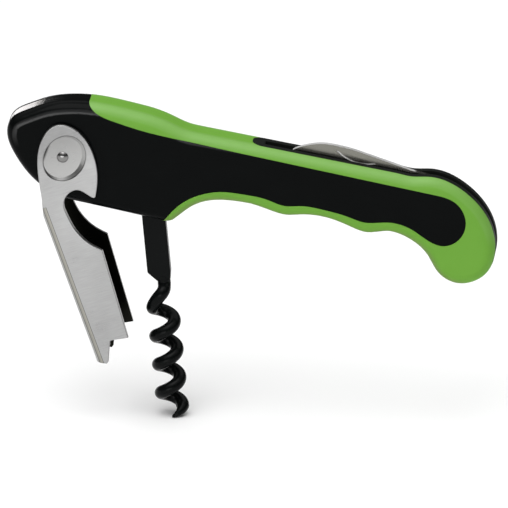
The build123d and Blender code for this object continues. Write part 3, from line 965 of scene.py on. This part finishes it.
@dataclass
class Knife(SubAssembly):
    """Blade on its pin, between two washers, with the liner that it folds into.

    Attributes:
        half_mm: From the middle to the blade's flat sides.
        nick_centre_mm: Centre of the nail nick's arc, along the handle and up.
        nick_radius_mm: Radius of the nick's arc.
        nick_depth_mm: Depth of the nick.
        grind_end_mm: Places along the handle between which the grind ends.
    """

    half_mm: float = 0.7
    nick_centre_mm: Span = (54.35, 59.88)
    nick_radius_mm: float = 11.43
    nick_depth_mm: float = 0.35
    grind_end_mm: Span = (66.5, 67.5)

    def finishes(self) -> dict[str, Finish]:
        """Finish of each piece, by the name of its node."""
        return {
            "knife_blade": self.blade(),
            "knife_liner": self.liner(),
            "knife_pin": PIN_STEEL,
            **dict.fromkeys(both_sides("knife_washer"), WASHER_BRASS),
        }

    def blade(self) -> GroundBlade:
        """Polished steel of the blade."""
        return GroundBlade(
            name="blade_metal",
            colour=(0.21, 0.207, 0.181),
            roughness=0.26,
            grain=Grain.ACROSS_BLADE,
            edge_mm=0.04,
            half_mm=self.half_mm,
            nick_centre_mm=self.nick_centre_mm,
            nick_radius_mm=self.nick_radius_mm,
            nick_depth_mm=self.nick_depth_mm,
            grind_end_mm=self.grind_end_mm,
            # painted highlight on the grind and along the nick's rim
            ground_painted_highlight=(0.75, 0.75, 0.74),
            ground_roughness=0.55,
        )

    def liner(self) -> MouldedPlastic:
        """Black plastic of the liner."""
        return MouldedPlastic(
            name="liner_black",
            dark=(0.009, 0.010, 0.009),
            light=(0.014, 0.0155, 0.014),
            roughness=0.45,
            specular=0.03,
        )


def add_object(name: str, data: bpy.types.ID) -> bpy.types.Object:
    """Add an object to the scene.

    Args:
        name: Name of the object.
        data: Its mesh, light or camera.

    Returns:
        The object.
    """
    made = bpy.data.objects.new(name, data)
    bpy.context.scene.collection.objects.link(made)
    return made


@dataclass(frozen=True, kw_only=True)
class Stand:
    """A place round the tool for something that faces it.

    Attributes:
        azimuth_deg: Way round the tool from its front, growing towards the tail.
        elevation_deg: Angle above the level of the point that is faced.
        distance: Distance from that point, in metres.
    """

    azimuth_deg: float
    elevation_deg: float
    distance: float

    def hold(self, name: str, data: bpy.types.ID, target: Vector) -> bpy.types.Object:
        """Put a light or a camera in the place.

        Args:
            name: Name of its object.
            data: The light or the camera.
            target: The point that it faces, in metres.

        Returns:
            Its object.
        """
        azimuth = math.radians(self.azimuth_deg)
        elevation = math.radians(self.elevation_deg)
        level = math.cos(elevation)
        back = Vector((math.sin(azimuth) * level, -math.cos(azimuth) * level, math.sin(elevation)))
        held = add_object(name, data)
        held.location = target + back * self.distance
        held.rotation_mode = "QUATERNION"
        held.rotation_quaternion = back.to_track_quat("Z", "Y")
        return held


@dataclass(frozen=True, kw_only=True)
class SoftBox(Stand):
    """A rectangular studio light.

    Attributes:
        name: Name of the light.
        width: Width in metres.
        height: Height in metres.
        watts: Power.
    """

    name: str
    width: float
    height: float
    watts: float

    def build(self, target: Vector) -> None:
        """Hang the light where the camera doesn't see it.

        Args:
            target: The point that it faces, in metres.
        """
        lamp = bpy.data.lights.new(self.name, "AREA")
        lamp.shape = "RECTANGLE"
        lamp.size = self.width
        lamp.size_y = self.height
        lamp.energy = self.watts
        self.hold(self.name, lamp, target).visible_camera = False


KEY = SoftBox(
    name="key",
    azimuth_deg=-30.0,
    elevation_deg=70.0,
    distance=0.9,
    width=0.7,
    height=0.7,
    watts=4.6,
)
LOW_RIM = SoftBox(
    name="low_rim",
    azimuth_deg=199.5,
    elevation_deg=6.0,
    distance=0.9,
    width=0.2,
    height=0.2,
    watts=0.18,
)
CARD = SoftBox(
    name="card",
    azimuth_deg=-15.0,
    elevation_deg=1.6,
    distance=1.0,
    width=0.7,
    height=0.13,
    watts=2.4,
)


@dataclass
class Studio:
    """Floor, light and camera.

    Attributes:
        aim_mm: The point that the camera and the lights face.
        view: Where the camera stands.
        sensor_mm: Width of the camera's sensor.
        image_px: Width of the picture.
        px_per_mm: Scale of the picture at the tool.
        clip_end: How far the camera sees, in metres.
        floor_half: Half the width of the floor, in metres.
        floor_colour: Colour of the floor.
        floor_roughness: Roughness of the floor.
        horizon: Strength of the sky near the horizon.
        zenith: Strength of the sky overhead.
        sky_rise: Heights on the unit sphere between which the sky brightens.
        lights: The studio's lights.
    """

    aim_mm: tuple[float, float, float] = (24.3, 0.0, 22.2)
    view: Stand = Stand(azimuth_deg=5.5, elevation_deg=20.0, distance=3.0)
    sensor_mm: float = 36.0
    image_px: float = 508.0
    px_per_mm: float = 3.79
    clip_end: float = 100.0
    floor_half: float = 4.0
    floor_colour: Colour = (0.95, 0.95, 0.95)
    floor_roughness: float = 0.9
    horizon: float = 0.05
    zenith: float = 1.25
    sky_rise: Span = (0.45, 0.75)
    lights: tuple[SoftBox, ...] = (KEY, LOW_RIM, CARD)

    def build(self, floor_z: float) -> None:
        """Set up everything round the tool.

        Args:
            floor_z: Height of the floor, in metres.
        """
        aim = Vector(self.aim_mm) * MM
        self._floor(floor_z)
        self._sky()
        self._camera(aim)
        for light in self.lights:
            light.build(aim)
        bpy.context.scene.view_settings.view_transform = "Standard"

    def _floor(self, height: float) -> None:
        """Lay a plain pale floor.

        Args:
            height: Height of the floor, in metres.
        """
        half = self.floor_half
        corners = [(-half, -half), (half, -half), (half, half), (-half, half)]
        mesh = bpy.data.meshes.new("floor")
        mesh.from_pydata([(*corner, height) for corner in corners], [], [range(len(corners))])
        floor = add_object("floor", mesh)
        graph = ShaderGraph(bpy.data.materials.new("floor_paint"))
        paint = graph.finished(Base_Color=opaque(self.floor_colour), Roughness=self.floor_roughness)
        mesh.materials.append(paint)
        floor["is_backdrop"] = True

    def _sky(self) -> None:
        """Light the scene from above, with a dim horizon."""
        world = bpy.data.worlds.new("studio")
        graph = ShaderGraph(world)
        outward = graph.node("ShaderNodeTexCoord", output="Generated")
        height = graph.node("ShaderNodeSeparateXYZ", sockets={0: outward}, output=Axis.UP.value)
        strength = self.horizon + (self.zenith - self.horizon) * graph.rise(height, *self.sky_rise)
        light = {"Color": opaque(WHITE), "Strength": strength}
        glow = graph.node("ShaderNodeBackground", sockets=light)
        graph.node("ShaderNodeOutputWorld", sockets={"Surface": glow}, output=None)
        bpy.context.scene.world = world

    def _camera(self, aim: Vector) -> None:
        """Stand the camera at the photograph's angle.

        Args:
            aim: The point at the middle of the picture, in metres.
        """
        lens = bpy.data.cameras.new("camera")
        lens.sensor_width = self.sensor_mm
        lens.lens = self.sensor_mm * self.px_per_mm * self.view.distance / MM / self.image_px
        lens.clip_end = self.clip_end
        bpy.context.scene.camera = self.view.hold("camera", lens, aim)


def main() -> None:
    """Load the frame, dress every piece and set up the studio."""
    logging.basicConfig(level=logging.INFO, format="%(message)s")
    for stray in list(bpy.data.objects):
        bpy.data.objects.remove(stray)
    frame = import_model()
    cad_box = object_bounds()
    for assembly in (Handle(), Lever(), Worm(), Knife()):
        assembly.dress(frame["nodes"])
    Studio().build(cad_box[0].z)


if __name__ == "__main__":
    main()
